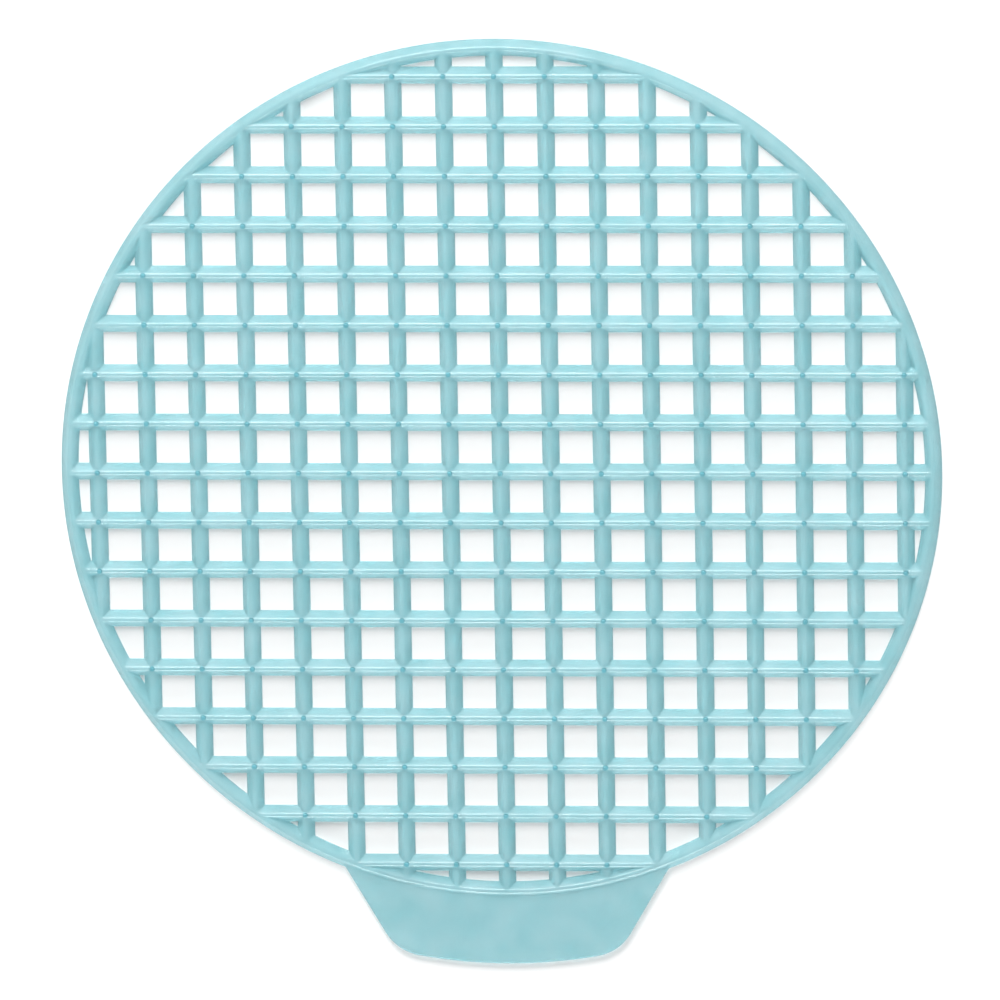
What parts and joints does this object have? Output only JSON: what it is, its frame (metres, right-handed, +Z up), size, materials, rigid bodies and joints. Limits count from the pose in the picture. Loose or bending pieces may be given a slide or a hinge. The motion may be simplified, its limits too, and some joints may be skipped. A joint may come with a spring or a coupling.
{
  "type": "urinal deodorizer screen",
  "caption": "Round flat grille of crossed ribs with a pip on every crossing, a rim and a flat lifting tab, that lies over the drain of a urinal bowl.",
  "frame": {"origin": "centre of the round grille, on its flat underside", "axes": "+Z up out of the side with the pips, +Y away from the lifting tab, which points along -Y"},
  "size_m": [0.178, 0.1916, 0.0026],
  "materials": {
    "screen": "satin translucent soft plastic"
  },
  "bodies": {
    "root": {"screen": "screen"}
  },
  "joints": []
}
